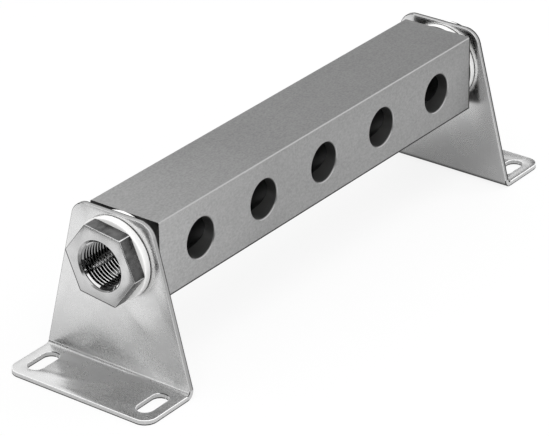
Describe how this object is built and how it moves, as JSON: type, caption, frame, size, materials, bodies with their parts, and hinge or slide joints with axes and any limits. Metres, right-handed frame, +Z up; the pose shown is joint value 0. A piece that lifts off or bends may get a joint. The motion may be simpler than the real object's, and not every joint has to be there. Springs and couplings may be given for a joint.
{
  "type": "valve manifold rail",
  "caption": "Square metal air manifold rail with a row of cross ports, a hollow hexagon supply fitting at one end, a closing plug at the other, and a folded, slotted sheet foot at each.",
  "frame": {"origin": "middle of the underside of the two feet, on the surface that they stand on", "axes": "+X along the rail towards its right end, the ports' front face looks towards -Y, +Z up"},
  "size_m": [0.2184, 0.057, 0.0562],
  "materials": {
    "rail_metal": "fine matt anodised grey",
    "bracket_sheet": "bright zinc plated sheet, soft mirror",
    "sealing_ring": "smooth white hard plastic",
    "fitting_metal": "turned and plated, bright edges"
  },
  "bodies": {
    "root": {"manifold_rail": "rail_metal", "mounting_bracket_left": "bracket_sheet", "mounting_bracket_right": "bracket_sheet", "inner_sealing_ring_left": "sealing_ring", "inner_sealing_ring_right": "sealing_ring", "outer_sealing_ring_left": "sealing_ring", "outer_sealing_ring_right": "sealing_ring", "end_fitting_left": "fitting_metal", "end_plug_right": "fitting_metal"}
  },
  "joints": []
}
